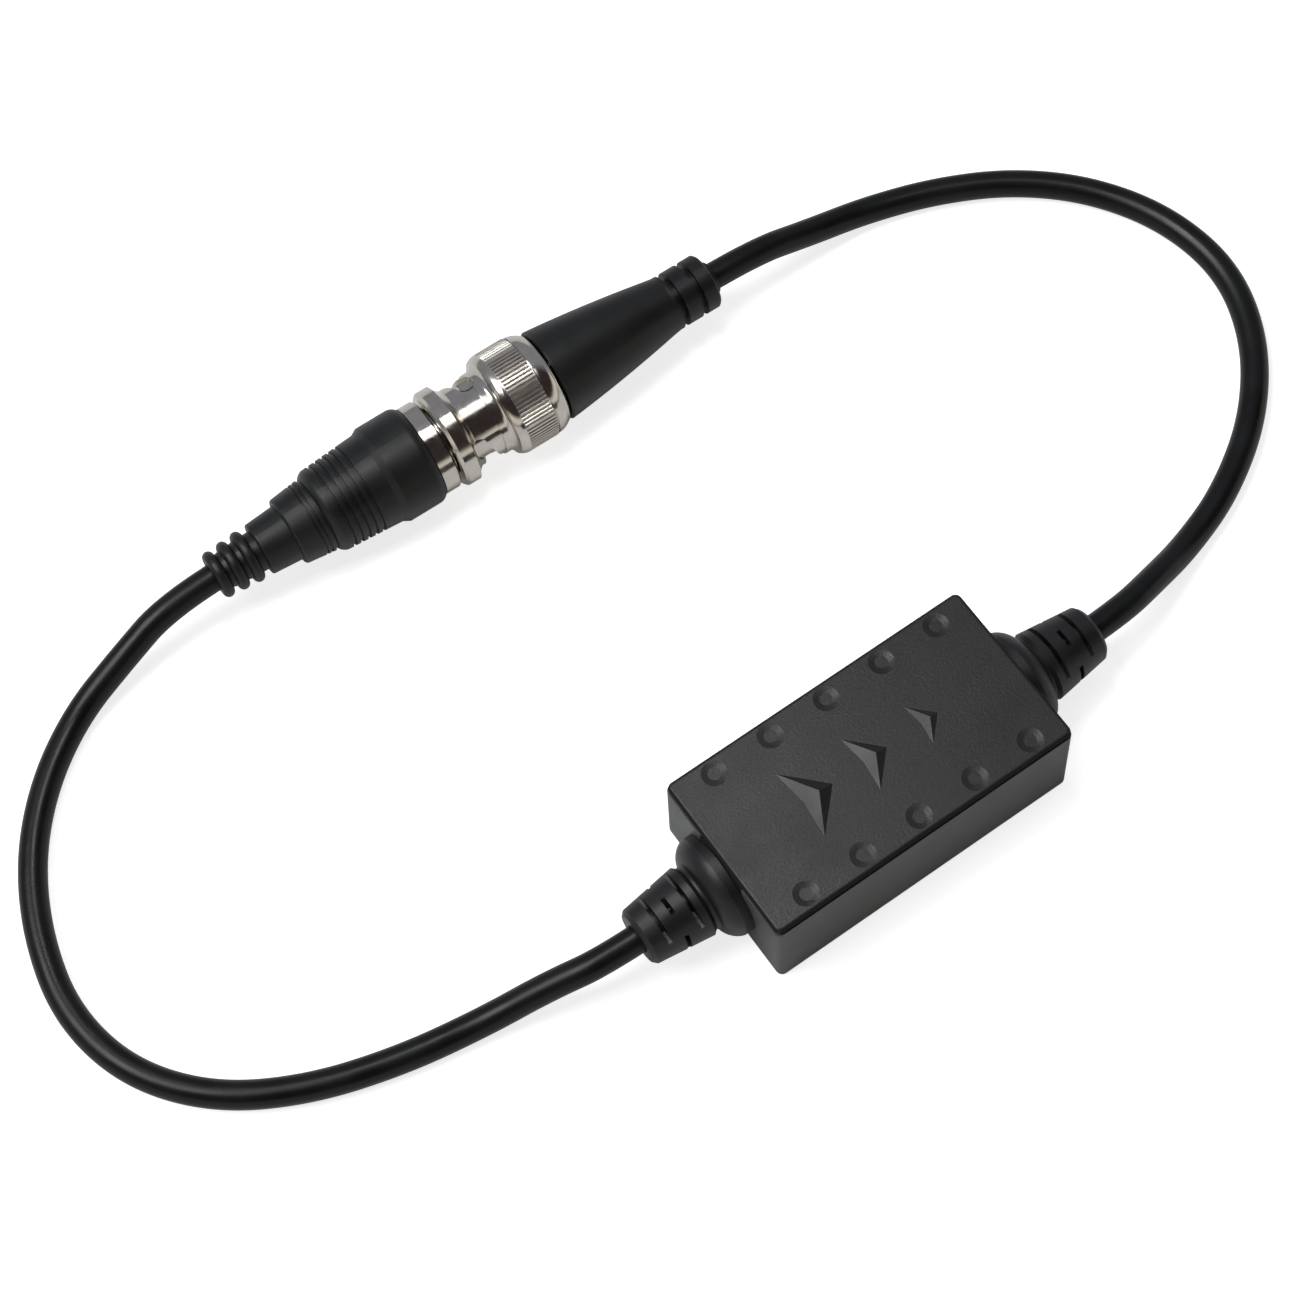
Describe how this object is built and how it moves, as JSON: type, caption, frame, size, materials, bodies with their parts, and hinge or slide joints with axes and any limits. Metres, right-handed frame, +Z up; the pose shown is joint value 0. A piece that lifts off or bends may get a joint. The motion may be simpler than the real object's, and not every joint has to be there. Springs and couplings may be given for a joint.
{
  "type": "video ground loop isolator",
  "caption": "Small flat moulded box with a coaxial pigtail out of each end; the pigtails' bayonet jack and plug are mated and locked, so the whole lies as a closed loop.",
  "frame": {"origin": "middle of the box's underside, on the surface that it rests on", "axes": "+X along the box towards the pigtail that ends in the plug, +Y towards the mated connectors, +Z up out of the cover"},
  "size_m": [0.1824, 0.0899, 0.0159],
  "materials": {
    "case_plastic": "fine spark-eroded grain",
    "cover_plastic": "fine spark-eroded grain",
    "grommet_rubber": "smooth satin moulding",
    "boot_vinyl": "smooth satin moulding",
    "cord_jacket": "semi-gloss extruded vinyl",
    "nickel_plate": "bright nickel plate, knurled",
    "spring_steel": "bright rolled strip",
    "gold_plate": "bright plated",
    "dielectric": "smooth white",
    "gasket_rubber": "smooth silicone",
    "board_laminate": "solder mask",
    "ferrite": "fine ceramic",
    "winding_copper": "enamelled",
    "capacitor_coat": "dipped coating",
    "resistor_coat": "lacquered",
    "tinned_copper": "tinned"
  },
  "bodies": {
    "isolator": {"casing_base": "case_plastic", "casing_cover": "cover_plastic", "grommet_left": "grommet_rubber", "grommet_right": "grommet_rubber", "circuit_board": "board_laminate", "toroid_core": "ferrite", "winding_primary": "winding_copper", "winding_secondary": "winding_copper", "isolation_capacitor": "capacitor_coat", "bleed_resistor": "resistor_coat", "coax_left": "cord_jacket", "coax_right": "cord_jacket", "left_cord_end": "cord_jacket", "right_cord_end": "cord_jacket", "left_braid_lead": "tinned_copper", "right_braid_lead": "tinned_copper", "jack_shell": "nickel_plate", "jack_insulator": "dielectric", "jack_centre_contact": "gold_plate", "jack_crimp_sleeve": "nickel_plate", "jack_cord_end": "cord_jacket", "jack_boot": "boot_vinyl"},
    "plug": {"plug_body": "nickel_plate", "plug_outer_contact": "nickel_plate", "plug_insulator": "dielectric", "plug_centre_pin": "gold_plate", "plug_gasket": "gasket_rubber", "plug_crimp_sleeve": "nickel_plate", "plug_cord_end": "cord_jacket", "front_thrust_washer": "spring_steel", "rear_thrust_washer": "spring_steel", "bowed_spring_washer": "spring_steel", "plug_boot": "boot_vinyl"},
    "ring": {"coupling_ring": "nickel_plate", "retaining_clip": "spring_steel"}
  },
  "joints": [
    {"name": "plug_travel", "type": "slide", "parent": "isolator", "child": "plug", "axis": [0.9998, -0.0192, 0], "range_m": [0, 0.0028], "deforming": ["coax_right"]},
    {"name": "ring_turn", "type": "hinge", "parent": "plug", "child": "ring", "pos_m": [-0.0106, 0.0706, 0.00725], "axis": [0.9998, -0.0192, 0], "range_deg": [0, 90]}
  ],
  "couplings": [
    {"joint": "ring_turn", "follows": "plug_travel", "rad_per_m": 561}
  ]
}
